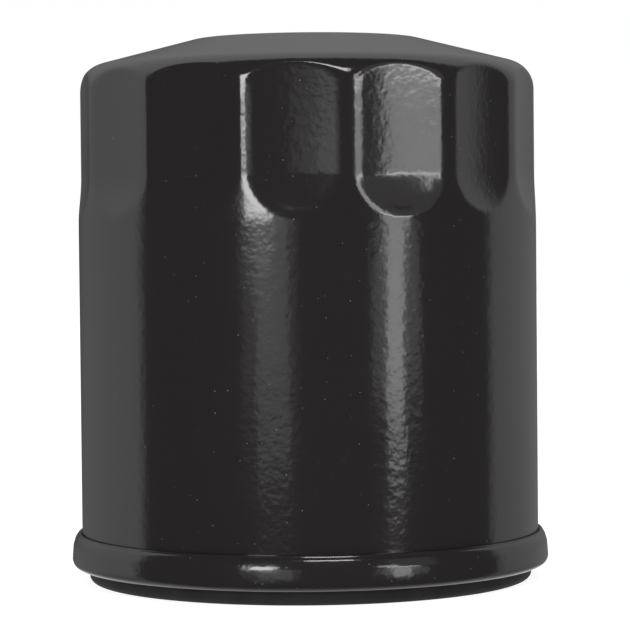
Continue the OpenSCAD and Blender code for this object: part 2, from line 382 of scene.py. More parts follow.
class Graph:
    """A shader node tree being wired."""

    def __init__(self, tree: bpy.types.NodeTree) -> None:
        """Takes the tree to wire."""
        self.tree = tree

    def join(self, source: object, target: Socket) -> None:
        """Links a socket to an input, or gives the input a constant.

        Args:
            source: A socket, a number or a colour.
            target: The input.
        """
        if isinstance(source, Socket):
            self.tree.links.new(source, target)
        elif target.type == "RGBA":
            target.default_value = (*source, 1.0)
        else:
            target.default_value = source

    def add(self, kind: str, **values: object) -> bpy.types.Node:
        """Adds a node.

        Args:
            kind: The node's type, without its common prefix.
            **values: The node's properties, and what goes into the inputs of that name, with
                underscores for spaces.

        Returns:
            The node.
        """
        node = self.tree.nodes.new("ShaderNode" + kind)
        for name, value in values.items():
            if hasattr(node, name):
                setattr(node, name, value)
            else:
                self.join(value, node.inputs[name.replace("_", " ")])
        return node

    def math(self, operation: str, *terms: Socket | float, clamp: bool = False) -> Socket:
        """Adds one sum on sockets or numbers.

        Args:
            operation: The sum's kind.
            *terms: Its terms, in order.
            clamp: Whether the result is kept between 0 and 1.

        Returns:
            The result's socket.
        """
        node = self.add("Math", operation=operation, use_clamp=clamp)
        for term, target in zip(terms, node.inputs):
            self.join(term, target)
        return node.outputs[0]

    def spread(
        self,
        mask: Socket,
        low: Socket | float = 0.0,
        high: Socket | float = 1.0,
        start: Socket | float = 0.0,
        stop: Socket | float = 1.0,
        smooth: bool = False,
    ) -> Socket:
        """Adds a value that goes from low to high while a mask goes from start to stop.

        Args:
            mask: The mask.
            low: The value at and below start.
            high: The value at and above stop.
            start: Where the mask starts to count.
            stop: Where it stops.
            smooth: Whether the change is eased at both ends.

        Returns:
            The value's socket.
        """
        node = self.add(
            "MapRange", interpolation_type="SMOOTHSTEP" if smooth else "LINEAR",
            Value=mask, From_Min=start, From_Max=stop, To_Min=low, To_Max=high,
        )
        return node.outputs["Result"]

    def mixed(self, mask: Socket, low: object, high: object, colours: bool = True) -> Socket:
        """Adds a colour, or else a value, that goes from low to high with a mask.

        Args:
            mask: The mask.
            low: What shows where the mask is 0.
            high: What shows where the mask is 1.
            colours: Whether low and high are colours.

        Returns:
            The result's socket.
        """
        node = self.add("Mix", data_type="RGBA" if colours else "FLOAT")
        first = 6 if colours else 2
        for source, index in ((mask, 0), (low, first), (high, first + 1)):
            self.join(source, node.inputs[index])
        return node.outputs[2 if colours else 0]

    def scale(self, millimetres: Socket) -> Socket:
        """Returns a texture scale whose features repeat about every so many millimetres."""
        return self.math("DIVIDE", 1 / MM, millimetres)


class Recipe(Graph):
    """A material being put together, with its shader and the piece's own coordinates at hand."""

    def __init__(self, name: str) -> None:
        """Starts a material with one Principled shader.

        Args:
            name: The material's name.
        """
        self.material = bpy.data.materials.new(name)
        self.material.use_nodes = True
        super().__init__(self.material.node_tree)
        self.shader = self.tree.nodes["Principled BSDF"]
        self.place = self.add("TexCoord").outputs["Object"]

    def effect(self, group: bpy.types.NodeTree, **values: float) -> bpy.types.bpy_prop_collection:
        """Places a shared effect on the piece's own coordinates.

        Args:
            group: The effect.
            **values: Its inputs' values in this material.

        Returns:
            The effect's outputs.
        """
        node = self.add("Group", node_tree=group, Vector=self.place)
        for name, value in values.items():
            node.inputs[name.capitalize()].default_value = value
        return node.outputs

    def feed(self, **sources: object) -> None:
        """Feeds the shader's own inputs, named with underscores for spaces."""
        for name, source in sources.items():
            self.join(source, self.shader.inputs[name.replace("_", " ")])

    def relief(self, height: Socket, depth_mm: float, onto: Socket | None = None) -> Socket:
        """Adds relief.

        Args:
            height: The relief's height, from 0 to 1.
            depth_mm: How deep it is, in millimetres.
            onto: An earlier normal that it lies over.

        Returns:
            The normal's socket.
        """
        bump = self.add("Bump", Strength=1.0, Distance=depth_mm * MM, Height=height)
        if onto:
            self.join(onto, bump.inputs["Normal"])
        return bump.outputs["Normal"]


@dataclass(frozen=True)
class Effects:
    """The shader groups that several finishes share."""

    ripple: bpy.types.NodeTree
    specks: bpy.types.NodeTree
    hairlines: bpy.types.NodeTree
    grain: bpy.types.NodeTree

    @classmethod
    def build(cls) -> "Effects":
        """Builds each group once."""
        return cls(cls._ripple(), cls._specks(), cls._hairlines(), cls._grain())

    @staticmethod
    def _group(
        name: str, inputs: dict[str, float], outputs: Sequence[str]
    ) -> tuple[Graph, bpy.types.bpy_prop_collection, bpy.types.bpy_prop_collection]:
        """Starts a group.

        Args:
            name: The group's name.
            inputs: Its number inputs and their usual values, besides the Vector input.
            outputs: The names of its number outputs.

        Returns:
            The group's graph, what it is given, and the inputs of its end.
        """
        tree = bpy.data.node_groups.new(name, "ShaderNodeTree")
        tree.interface.new_socket("Vector", in_out="INPUT", socket_type="NodeSocketVector")
        for label, value in inputs.items():
            made = tree.interface.new_socket(label, in_out="INPUT", socket_type="NodeSocketFloat")
            made.default_value = value
        for label in outputs:
            tree.interface.new_socket(label, in_out="OUTPUT", socket_type="NodeSocketFloat")
        return Graph(tree), tree.nodes.new("NodeGroupInput").outputs, tree.nodes.new("NodeGroupOutput").inputs

    @classmethod
    def _ripple(cls) -> bpy.types.NodeTree:
        """Orange peel: a fine ripple over a longer, lower one.

        Returns:
            The effect, with a Height output.
        """
        graph, given, end = cls._group("ripple", {"Period": 0.8, "Swell": 9.0}, ["Height"])
        place = given["Vector"]
        fine = graph.add("TexNoise", Vector=place, Scale=graph.scale(given["Period"]), Detail=1.0)
        long = graph.add("TexNoise", Vector=place, Scale=graph.scale(given["Swell"]), Detail=0.0)
        total = graph.math("MULTIPLY_ADD", long.outputs["Fac"], 2.5, fine.outputs["Fac"])
        graph.join(total, end["Height"])
        return graph.tree

    @classmethod
    def _specks(cls) -> bpy.types.NodeTree:
        """Dust nibs: round dots in some of a grid's cells.

        Returns:
            The effect, with a Mask output.
        """
        graph, given, end = cls._group("specks", {"Spacing": 4.0, "Size": 0.06, "Share": 0.4}, ["Mask"])
        cells = graph.add(
            "TexVoronoi", Vector=given["Vector"], Scale=graph.scale(given["Spacing"]), Randomness=1.0
        ).outputs
        dot = graph.spread(cells["Distance"], 1.0, 0.0, stop=given["Size"], smooth=True)
        code = graph.add("SeparateColor", Color=cells["Color"]).outputs["Red"]
        chosen = graph.math("LESS_THAN", code, given["Share"])
        graph.join(graph.math("MULTIPLY", dot, chosen), end["Mask"])
        return graph.tree

    @classmethod
    def _hairlines(cls) -> bpy.types.NodeTree:
        """Fine handling scratches: short strokes in two directions, in patches.

        Returns:
            The effect, with a Mask output.
        """
        graph, given, end = cls._group("hairlines", {"Length": 9.0, "Share": 0.5}, ["Mask"])
        strokes: list[Socket] = []
        for turn in (0.9, -0.6):
            aim = graph.add(
                "Mapping", vector_type="TEXTURE", Vector=given["Vector"],
                Rotation=(0.15, turn, 0.0), Scale=(0.025, 0.025, 1.0),
            ).outputs["Vector"]
            lines = graph.add("TexNoise", Vector=aim, Scale=graph.scale(given["Length"]), Detail=2.0)
            strokes.append(graph.spread(lines.outputs["Fac"], start=0.71, stop=0.76))
        patches = graph.add("TexNoise", Vector=given["Vector"], Scale=70.0, Detail=1.0)
        chosen = graph.spread(patches.outputs["Fac"], start=given["Share"], stop=0.75)
        most = graph.math("MAXIMUM", *strokes)
        graph.join(graph.math("MULTIPLY", most, chosen), end["Mask"])
        return graph.tree

    @classmethod
    def _grain(cls) -> bpy.types.NodeTree:
        """Clouding and fine grain of rolled sheet, paper or moulded rubber.

        Returns:
            The effect, with Fine and Clouds outputs.
        """
        graph, given, end = cls._group("grain", {"Period": 0.3, "Cloud": 6.0}, ["Fine", "Clouds"])
        for label, source, detail in (("Fine", "Period", 4.0), ("Clouds", "Cloud", 3.0)):
            scale = graph.scale(given[source])
            noise = graph.add("TexNoise", Vector=given["Vector"], Scale=scale, Detail=detail)
            graph.join(noise.outputs["Fac"], end[label])
        return graph.tree


@dataclass(frozen=True)
class Enamel:
    """Glossy baked black paint with orange peel, dust nibs and handling marks."""

    colour: Colour = (0.0105, 0.0092, 0.0096)
    worn: Colour = (0.03, 0.028, 0.028)
    speck: Colour = (0.2, 0.19, 0.18)
    gloss: float = 0.11
    peel_mm: float = 0.019

    def build(self, name: str, effects: Effects) -> bpy.types.Material:
        """Mixes the paint.

        Args:
            name: The material's name.
            effects: The shared effects.

        Returns:
            The material.
        """
        mix = Recipe(name)
        ripple = mix.effect(effects.ripple, period=1.05, swell=9.0)
        nibs = mix.effect(effects.specks, spacing=1.1, size=0.085, share=0.45)["Mask"]
        marks = mix.effect(effects.hairlines, length=5.0, share=0.48)["Mask"]
        grain = mix.effect(effects.grain, period=0.2, cloud=9.0)
        haze = mix.spread(grain["Clouds"], self.gloss - 0.03, self.gloss + 0.04)
        peel = mix.relief(ripple["Height"], self.peel_mm)
        mix.feed(
            Base_Color=mix.mixed(nibs, mix.mixed(marks, self.colour, self.worn), self.speck),
            Roughness=mix.math("ADD", haze, mix.spread(marks, 0.0, 0.25)),
            Normal=mix.relief(nibs, 0.02, peel),
            IOR=1.52,
        )
        return mix.material


class Sheen(Enum):
    """How bright and how rough a metal is: colour and roughness."""

    OILED = ((0.40, 0.39, 0.36), 0.34)
    TINNED = ((0.66, 0.65, 0.61), 0.26)
    PLAIN = ((0.46, 0.45, 0.43), 0.33)
    TEMPERED = ((0.17, 0.18, 0.2), 0.3)


@dataclass(frozen=True)
class Steel:
    """Bare or plated steel with rolling grain, clouding and light scratches."""

    sheen: Sheen
    stain: Colour = (0.2, 0.17, 0.13)

    def build(self, name: str, effects: Effects) -> bpy.types.Material:
        """Mixes the metal.

        Args:
            name: The material's name.
            effects: The shared effects.

        Returns:
            The material.
        """
        colour, roughness = self.sheen.value
        mix = Recipe(name)
        grain = mix.effect(effects.grain, period=0.22, cloud=5.0)
        marks = mix.effect(effects.hairlines, length=5.0, share=0.42)["Mask"]
        darker = tuple(0.72 * part + 0.12 * other for part, other in zip(colour, self.stain))
        rough = mix.spread(grain["Fine"], roughness - 0.1, roughness + 0.14)
        pits = mix.relief(grain["Fine"], 0.006)
        mix.feed(
            Base_Color=mix.mixed(grain["Clouds"], darker, colour),
            Roughness=mix.math("ADD", rough, mix.spread(marks, 0.0, -0.12)),
            Normal=mix.relief(marks, 0.004, pits),
            Metallic=1.0,
        )
        return mix.material


@dataclass(frozen=True)
class Rubber:
    """Moulded rubber or silicone with a fine matte skin and a bloom."""

    colour: Colour
    bloom: Colour
    roughness: float
    shine: float = 0.5

    def build(self, name: str, effects: Effects) -> bpy.types.Material:
        """Mixes the rubber.

        Args:
            name: The material's name.
            effects: The shared effects.

        Returns:
            The material.
        """
        mix = Recipe(name)
        grain = mix.effect(effects.grain, period=0.16, cloud=4.0)
        dust = mix.effect(effects.specks, spacing=1.6, size=0.05, share=0.25)["Mask"]
        shade = mix.math("MAXIMUM", mix.spread(grain["Clouds"], -0.3, 1.1), dust)
        mix.feed(
            Base_Color=mix.mixed(shade, self.colour, self.bloom),
            Roughness=mix.spread(grain["Fine"], self.roughness - 0.1, self.roughness + 0.1),
            Normal=mix.relief(grain["Fine"], 0.012),
            Specular_IOR_Level=self.shine,
        )
        return mix.material


@dataclass(frozen=True)
class Fibre:
    """Resin-cured filter paper."""

    pale: Colour = (0.72, 0.58, 0.33)
    dark: Colour = (0.5, 0.36, 0.16)
    strand: Colour = (0.84, 0.74, 0.52)

    def build(self, name: str, effects: Effects) -> bpy.types.Material:
        """Mixes the paper.

        Args:
            name: The material's name.
            effects: The shared effects.

        Returns:
            The material.
        """
        mix = Recipe(name)
        grain = mix.effect(effects.grain, period=0.12, cloud=2.5)
        strands = mix.effect(effects.hairlines, length=1.6, share=0.1)["Mask"]
        shade = mix.spread(mix.math("MULTIPLY", grain["Fine"], grain["Clouds"]), -0.4, 2.4)
        mix.feed(
            Base_Color=mix.mixed(strands, mix.mixed(shade, self.dark, self.pale), self.strand),
            Roughness=mix.spread(grain["Fine"], 0.78, 0.98),
            Normal=mix.relief(grain["Fine"], 0.04),
        )
        return mix.material


@dataclass(frozen=True)
class Finishes:
    """Every material of the filter."""

    enamel: bpy.types.Material
    gasket: bpy.types.Material
    seal: bpy.types.Material
    silicone: bpy.types.Material
    plastisol: bpy.types.Material
    compound: bpy.types.Material
    paper: bpy.types.Material
    plate: bpy.types.Material
    tinned: bpy.types.Material
    valve: bpy.types.Material
    spring: bpy.types.Material

    @classmethod
    def build(cls) -> "Finishes":
        """Mixes each finish once.

        Returns:
            The filter's materials.
        """
        recipes = {
            "enamel": ("black_enamel", Enamel()),
            "gasket": ("nitrile_rubber", Rubber((0.0075, 0.007, 0.007), (0.017, 0.016, 0.016), 0.72, 0.22)),
            "seal": ("seal_rubber", Rubber((0.014, 0.014, 0.016), (0.03, 0.03, 0.032), 0.6)),
            "silicone": ("orange_silicone", Rubber((0.52, 0.11, 0.025), (0.6, 0.19, 0.07), 0.42)),
            "plastisol": ("plastisol", Rubber((0.16, 0.03, 0.022), (0.24, 0.06, 0.045), 0.4)),
            "compound": ("seam_compound", Rubber((0.15, 0.06, 0.035), (0.2, 0.1, 0.06), 0.55)),
            "paper": ("filter_paper", Fibre()),
            "plate": ("oiled_steel", Steel(Sheen.OILED)),
            "tinned": ("tinned_steel", Steel(Sheen.TINNED)),
            "valve": ("plain_steel", Steel(Sheen.PLAIN)),
            "spring": ("tempered_steel", Steel(Sheen.TEMPERED)),
        }
        effects = Effects.build()
        return cls(**{part: finish.build(name, effects) for part, (name, finish) in recipes.items()})


# ---------------------------------------------------------------- the filter


@dataclass
class Canister:
    """The drawn can: fluted closed end, plain wall and the lip that is hooked into the seam."""

    height: float = 79.0
    body_r: float = 33.5
    land_r: float = 33.3
    sheet: float = 0.4
    crown_r: float = 16.3
    crown_slope: float = 14.45
    crown_ease: float = 4.0
    shoulder_r: float = 4.2
    flutes: int = 14
    flute_phase: float = -2.6
    flute_mid_r: float = 32.35
    hollow_r: float = 70.0
    foot_z: float = 58.9
    runout: float = 5.7
    ridge_round: float = 1.75
    rim_round: float = 0.3
    hook_r: float = 34.42
    hook_top_z: float = 5.6
    floor_z: float = 2.66
    columns_per_flute: int = 30
    flute_top: float = 1.2
    taper: float = 1.6
    runout_ease: float = 0.2
    flute_in_r: float = 20.0
    plain_z: float = 20.0
    gather: float = 0.42
    samples: int = 4
    hook_start_z: float = 8.0
    crown_row: float = 2.4
    runout_row: float = 0.33
    wall_row: float = 11.0

    @property
    def pitch(self) -> float:
        """Degrees from one flute to the next."""
        return 360 / self.flutes

    @property
    def taper_z(self) -> float:
        """Height at which the wall has eased out to the body's radius."""
        return self.foot_z - self.runout - self.taper

    def section(self) -> Profile:
        """Draws the outer face's section, from the crown's middle to the hooked lip's end.

        Returns:
            The section's points.
        """
        slope = math.radians(self.crown_slope)
        middle_r = self.land_r - self.shoulder_r
        end_r = middle_r + self.shoulder_r * math.sin(slope)
        end_z = self.height - (end_r - self.crown_r) * math.tan(slope)
        middle_z = end_z - self.shoulder_r * math.cos(slope)
        rim_z = middle_z + self.shoulder_r * (1 - math.sin(slope)) / math.cos(slope)
        crown = divided(
            open_path(
                [
                    Corner(0, self.height),
                    Corner(self.crown_r, self.height, self.crown_ease),
                    Corner(self.land_r, rim_z, self.shoulder_r),
                    Corner(self.land_r, self.foot_z + self.flute_top),
                ],
                14,
            ),
            self.crown_row,
        )
        runout = divided([crown[-1], (self.land_r, self.taper_z)], self.runout_row)
        return crown + runout[1:] + self.lip(self.taper_z)

    def lip(self, start_z: float) -> Profile:
        """Draws the plain wall's section below a height, and the hooked lip.

        Args:
            start_z: The height.

        Returns:
            The section's points, without the first one.
        """
        bend = (self.hook_r - self.sheet - self.body_r) / 2
        wall = divided([(self.body_r, start_z), (self.body_r, self.hook_start_z)], self.wall_row)
        hook = open_path(
            [
                Corner(self.body_r, self.hook_start_z),
                Corner(self.body_r, self.floor_z + self.sheet, bend * 0.98),
                Corner(self.hook_r - self.sheet, self.floor_z + self.sheet, bend * 0.98),
                Corner(self.hook_r - self.sheet, self.hook_top_z),
            ],
            5,
        )
        return wall[1:] + hook[1:]

    def wall_radius(self, z: float) -> float:
        """Returns the plain wall's radius, eased from the body's to the land's."""
        share = smooth_step(self.taper_z, self.foot_z, z)
        return self.body_r + (self.land_r - self.body_r) * share

    def flute_radius(self, z: float, off: float) -> float:
        """Returns how far out a flute's tool leaves the face.

        Args:
            z: Height.
            off: Degrees from the flute's middle.

        Returns:
            The face's radius, which is past the wall's wherever the tool clears it.
        """
        below = max(self.foot_z - z, 0.0) / self.runout
        share = below * (self.runout_ease + (1 - self.runout_ease) * below)
        reach = self.hollow_r - (self.body_r - self.flute_mid_r) * share
        axis = self.flute_mid_r + self.hollow_r
        off = (off + self.pitch / 2) % self.pitch - self.pitch / 2
        side = axis * math.sin(math.radians(off))
        if abs(side) > 0.3 * reach:
            return self.body_r + 1
        return axis * math.cos(math.radians(off)) - math.sqrt(reach * reach - side * side)

    def fluted(self, r: float, z: float, angle: float) -> tuple[float, float, float]:
        """Pulls a point of the outer face in to the flute that it lies under.

        Args:
            r: Radius before the flutes.
            z: Height.
            angle: Angle from the front.

        Returns:
            The radius, height and angle after the flutes are pressed. Columns are gathered
            towards the ridges, where the face turns fastest, and every point is the mean of the
            sharp shape over a small patch, which rounds the ridges and the run-outs' rims.
        """
        turn = (angle - self.flute_phase) / self.pitch
        nearest = round(turn)
        u = turn - nearest
        local = self.pitch * (u + self.gather * math.sin(math.tau * u) / math.tau)
        angle = self.flute_phase + nearest * self.pitch + local
        upright = r > self.land_r - 1e-4 and z > self.plain_z
        if z < self.foot_z - 1.4 * self.runout or r < self.flute_in_r:
            return (self.wall_radius(z) if upright else r), z, angle
        heights = (z - self.rim_round, z, z + self.rim_round) if upright else (z,)
        total = 0.0
        for height in heights:
            outer = self.wall_radius(height) if upright else r
            for k in range(-self.samples, self.samples + 1):
                flute = self.flute_radius(height, local + k / self.samples * self.ridge_round)
                total += min(outer, flute)
        return total / (2 * self.samples + 1) / len(heights), z, angle

    def build(self, finishes: Finishes) -> None:
        """Spins the can, presses its flutes and gives it its sheet thickness.

        Args:
            finishes: The filter's materials.
        """
        bm = spun(self.section(), self.flutes * self.columns_per_flute, closed=False)
        top = max(bm.faces, key=lambda face: face.calc_center_median().z)
        if top.normal.z < 0:
            bmesh.ops.reverse_faces(bm, faces=bm.faces)
        reshape(bm, self.fluted)
        Solid.place(
            "canister_shell", bm, finishes.enamel, "black_paint", ["canister"],
            wall=self.sheet, wall_side=-1.0,
        )


@dataclass
class SeamCover:
    """The pressed cover: gasket channel, inner ring and the outer wall rolled round the can's lip."""

    sheet: float = 0.45
    chuck_r: float = 32.825
    wall_r: float = 34.775
    hook_r: float = 33.755
    floor_z: float = 2.325
    top_z: float = 6.875
    channel_r: float = 27.275
    roof_z: float = 5.475
    ring_z: float = 2.725
    ring_r: float = 22.2
    welds: int = 8
    weld_r: float = 24.3
    weld_size: float = 1.5
    weld_depth: float = 0.16
    barrel_z: float = 2.3
    barrel_high: float = 4.6
    barrel: float = 56.0
    corner: float = 0.6

    def section(self) -> Profile:
        """Draws the sheet's middle line from the inner ring's edge to the seam's hooked edge.

        Returns:
            The line's points.
        """
        ring_end = self.channel_r - self.corner - 0.1
        ring = divided([(self.ring_r, self.ring_z), (ring_end, self.ring_z)], 0.4)
        rest = open_path(
            [
                Corner(ring_end, self.ring_z),
                Corner(self.channel_r, self.ring_z, self.corner),
                Corner(self.channel_r, self.roof_z, self.corner),
                Corner(self.chuck_r, self.roof_z, self.corner),
                Corner(self.chuck_r, self.floor_z, self.corner),
                Corner(self.wall_r, self.floor_z, 1.1),
                Corner(self.wall_r, self.top_z - 1.475, 2.0),
                Corner(self.wall_r - 0.28, self.top_z, 0.75),
                Corner(self.hook_r, self.top_z, 0.1),
                Corner(self.hook_r, 3.5),
            ],
            8,
        )
        return ring + rest[1:]

    def dimpled(self, r: float, z: float, angle: float) -> tuple[float, float, float]:
        """Presses the weld marks into the inner ring, and lets the rolled wall wander a little.

        Args:
            r: Radius before the change.
            z: Height before it.
            angle: Angle from the front.

        Returns:
            The radius, height and angle after it.
        """
        if r < self.channel_r - self.corner - 0.1 and z < self.roof_z - 1:
            pitch = 360 / self.welds
            off = (angle % pitch) - pitch / 2
            away = math.hypot(r - self.weld_r, r * math.radians(off)) / self.weld_size
            z += self.weld_depth * math.exp(-2.2 * away**4)
        elif r > self.wall_r - 0.9:
            a = math.radians(angle)
            outside = smooth_step(self.wall_r - 0.9, self.wall_r - 0.3, r)
            sway = 0.012 * math.sin(3 * a + 1.0) + 0.008 * math.sin(11 * a + 0.4) - 0.02
            r += outside * (sway - min(z - self.barrel_z, self.barrel_high) ** 2 / self.barrel)
        return r, z, angle

    def build(self, finishes: Finishes) -> None:
        """Spins the cover and presses its marks.

        Args:
            finishes: The filter's materials.
        """
        bm = spun(self.section(), 288, closed=False)
        reshape(bm, self.dimpled)
        Solid.place("rolled_seam_cover", bm, finishes.enamel, "black_paint", ["seam_cover"], wall=self.sheet)


@dataclass
class Gasket:
    """The square-cut mounting gasket."""

    outer_r: float = 32.45
    inner_r: float = 27.6
    height: float = 5.2

    def build(self, finishes: Finishes) -> None:
        """Spins the gasket's section.

        Args:
            finishes: The filter's materials.
        """
        section = closed_path(
            [
                Corner(self.inner_r, 0, 0.45),
                Corner(self.outer_r, 0, 0.9),
                Corner(self.outer_r, self.height, 0.3),
                Corner(self.inner_r, self.height, 0.3),
            ],
            6,
        )
        ring = spun(section, 224, closed=True)
        Solid.place("gasket_ring", ring, finishes.gasket, "gasket_rubber", ["mounting_gasket"])


@dataclass
class BasePlate:
    """The thick pressed plate with its ring of inlet ports and its threaded hub."""

    low_z: float = 3.0
    thick: float = 2.8
    rim_z: float = 5.75
    rim_r: float = 32.4
    step_r: float = 26.9
    hub_r: float = 12.788
    hub_top_z: float = 14.5
    bore_r: float = 10.02
    crest_r: float = 9.188
    ports: int = 8
    port_r: float = 2.75
    port_circle_r: float = 18.0
    band_in_r: float = 14.2
    band_out_r: float = 22.4
    columns: int = 24
    sides: int = 6
    thread_pitch: float = 1.5
    thread_turns: float = 6.4
    thread_root: float = 0.69
    thread_crest: float = 0.19

    def outer_part(self) -> Profile:
        """Draws the section outside the band of ports.

        Returns:
            The section's points, from the underside round to the top.
        """
        low, top = self.low_z, self.low_z + self.thick
        rim_top = self.rim_z + self.thick
        return open_path(
            [
                Corner(self.band_out_r, low),
                Corner(self.step_r - 0.3, low, 1.2),
                Corner(self.step_r - 0.02, self.rim_z, 0.25),
                Corner(self.rim_r, self.rim_z, 0.35),
                Corner(self.rim_r, rim_top, 0.6),
                Corner(self.step_r - 1.1, rim_top, 1.6),
                Corner(self.step_r - 2.9, top, 1.2),
                Corner(self.band_out_r, top),
            ],
            5,
        )

    def inner_part(self) -> Profile:
        """Draws the section of the hub, inside the band of ports.

        Returns:
            The section's points, from the top round to the underside.
        """
        low, top = self.low_z, self.low_z + self.thick
        return open_path(
            [
                Corner(self.band_in_r, top),
                Corner(self.hub_r, top, 1.0),
                Corner(self.hub_r, self.hub_top_z, 0.6),
                Corner(self.bore_r + 0.5, self.hub_top_z, 0.25),
                Corner(self.bore_r, self.hub_top_z - 0.6, 0.2),
                Corner(self.bore_r, low + 1.2, 0.2),
                Corner(self.bore_r + 1.0, low, 0.8),
                Corner(self.band_in_r, low),
            ],
            5,
        )

    def sector_loop(self, bm: BMesh, z: float) -> Edges:
        """Adds the edge loop of one port's sector of the band.

        Args:
            bm: The mesh to add to.
            z: The loop's height, in millimetres.

        Returns:
            The loop's edges.
        """
        half = math.pi / self.ports
        width = self.band_out_r - self.band_in_r
        turns = [half * (2 * k / self.columns - 1) for k in range(self.columns + 1)]
        rises = [self.band_in_r + width * k / self.sides for k in range(1, self.sides)]
        around = [(self.band_in_r, a) for a in turns] + [(r, half) for r in rises]
        around += [(self.band_out_r, a) for a in reversed(turns)] + [(r, -half) for r in reversed(rises)]
        verts = [bm.verts.new((r * math.cos(a) * MM, r * math.sin(a) * MM, z * MM)) for r, a in around]
        return [bm.edges.new((a, b)) for a, b in zip(verts, verts[1:] + verts[:1])]

    def port_sector(self) -> BMesh:
        """Bridges one sector of the band: top, underside and port wall.

        Returns:
            The sector's mesh.
        """
        bm = bmesh.new()
        low, top = self.low_z, self.low_z + self.thick
        count = 2 * (self.columns + self.sides)
        rings = [
            (self.port_r + 0.5, low), (self.port_r + 0.18, low + 0.1), (self.port_r, low + 0.42),
            (self.port_r, top - 0.25), (self.port_r + 0.3, top),
        ]
        loops = [self.sector_loop(bm, low)]
        for radius, z in rings:
            loops.append(ring_loop(bm, Vector((self.port_circle_r, 0, z)), radius, count))
        loops.append(self.sector_loop(bm, top))
        for a, b in zip(loops, loops[1:]):
            bmesh.ops.bridge_loops(bm, edges=a + b)
        return bm

    def build(self, finishes: Finishes) -> None:
        """Builds the plate round its ports, and the thread in its hub.

        Args:
            finishes: The filter's materials.
        """
        bm = self.port_sector()
        turned(bm, [*bm.verts, *bm.edges, *bm.faces], math.tau, self.ports, use_duplicate=True)
        turn = Matrix.Rotation(math.pi / self.ports, 4, "Z")
        bmesh.ops.transform(bm, matrix=turn, verts=bm.verts)
        for part in (self.outer_part(), self.inner_part()):
            spun(part, self.ports * self.columns, closed=False, into=bm)
        tidy(bm, 2e-6)
        Solid.place("base_plate_pressing", bm, finishes.plate, "plate_steel", ["base_plate"], crisp=45)
        Solid.place("hub_thread", self.thread(), finishes.plate, "plate_steel", crisp=50)

    def thread(self) -> BMesh:
        """Winds the right-hand thread's ridge, which fades out at both ends.

        Returns:
            The ridge's mesh.
        """
        bm = bmesh.new()
        start, turns, per_turn = self.low_z + 1.1, self.thread_turns, 48
        root_r = self.bore_r + 0.06
        section = [
            (root_r, -self.thread_root), (self.crest_r, -self.thread_crest),
            (self.crest_r, self.thread_crest), (root_r, self.thread_root),
        ]
        verts = [bm.verts.new((r * MM, 0, (start + z) * MM)) for r, z in section]
        ridge = bm.faces.new(verts)
        rise = (0, 0, self.thread_pitch / per_turn * MM)
        turned(bm, [ridge, *ridge.edges, *verts], math.tau * turns, round(turns * per_turn), dvec=rise)
        low, high = start + 0.25 * self.thread_pitch, start + (turns - 0.25) * self.thread_pitch
        for vert in bm.verts:
            z = vert.co.z / MM
            r = math.hypot(vert.co.x, vert.co.y) / MM
            keep = min(smooth_step(low - 0.7, low + 0.2, z), 1 - smooth_step(high - 0.2, high + 0.7, z))
            if r < self.bore_r:
                grown = self.bore_r + 0.02 + (r - self.bore_r - 0.02) * keep
                vert.co.xy *= grown / r
        return tidy(bm)


@dataclass
class DrainbackValve:
    """The moulded silicone valve: a collar on the hub and a skirt that lies over the ports."""

    hub_r: float = 12.84
    lip_z: float = 5.9

    def build(self, finishes: Finishes) -> None:
        """Spins the valve in one piece.

        Args:
            finishes: The filter's materials.
        """
        section = closed_path(
            [
                Corner(self.hub_r, 11.25, 0.2),
                Corner(14.75, 9.4, 0.7),
                Corner(21.1, self.lip_z + 0.15, 0.8),
                Corner(22.2, self.lip_z, 0.3),
                Corner(23.1, self.lip_z + 0.1, 0.3),
                Corner(23.0, 6.85, 0.4),
                Corner(21.4, 6.95, 1.2),
                Corner(15.9, 10.1, 0.9),
                Corner(14.35, 11.9, 1.0),
                Corner(14.35, 16.0, 0.5),
                Corner(10.25, 16.0, 0.4),
                Corner(10.25, 14.55, 0.3),
                Corner(self.hub_r, 14.55, 0.15),
            ],
            5,
        )
        bm = spun(divided(section + section[:1], 1.2)[:-1], 144, closed=True)
        valve = Solid.place(
            "drainback_valve", bm, finishes.silicone, "silicone",
            ["drainback_valve_collar", "drainback_valve_skirt"], body=None,
        )
        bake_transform(valve)


